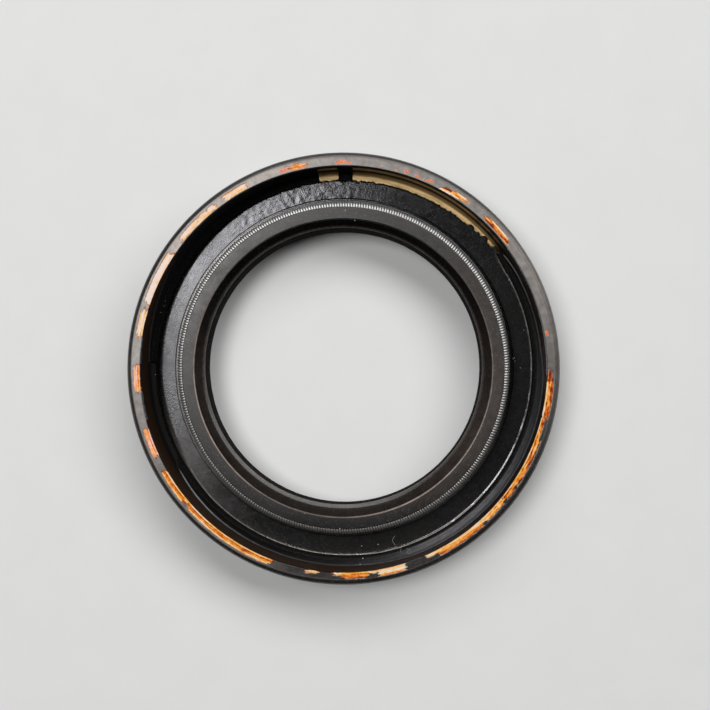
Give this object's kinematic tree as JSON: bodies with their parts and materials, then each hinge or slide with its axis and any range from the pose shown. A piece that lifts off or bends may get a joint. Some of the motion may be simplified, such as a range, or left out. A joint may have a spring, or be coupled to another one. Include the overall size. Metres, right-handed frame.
{
  "type": "radial shaft seal",
  "caption": "Rubber-covered radial shaft seal with a steel case, a spring-loaded sealing lip and a dust lip, used and rusty at the rim.",
  "frame": {"origin": "centre of the back face, the air side, which the seal lies on", "axes": "+Z along the shaft axis towards the oil side; +Y towards the black bridge in the bare gold arc"},
  "size_m": [0.052, 0.052, 0.008],
  "materials": {
    "case_steel": "gold-brown bonding coat on sheet steel, rusty orange on the bare cut edge",
    "black_rubber": "moulded nitrile rubber, glossy on the floor, satin on the lip and the rim",
    "spring_steel": "drawn spring wire, dull grey"
  },
  "bodies": {
    "root": {"metal_case": "case_steel", "rubber_body": "black_rubber", "garter_spring": "spring_steel"}
  },
  "joints": []
}
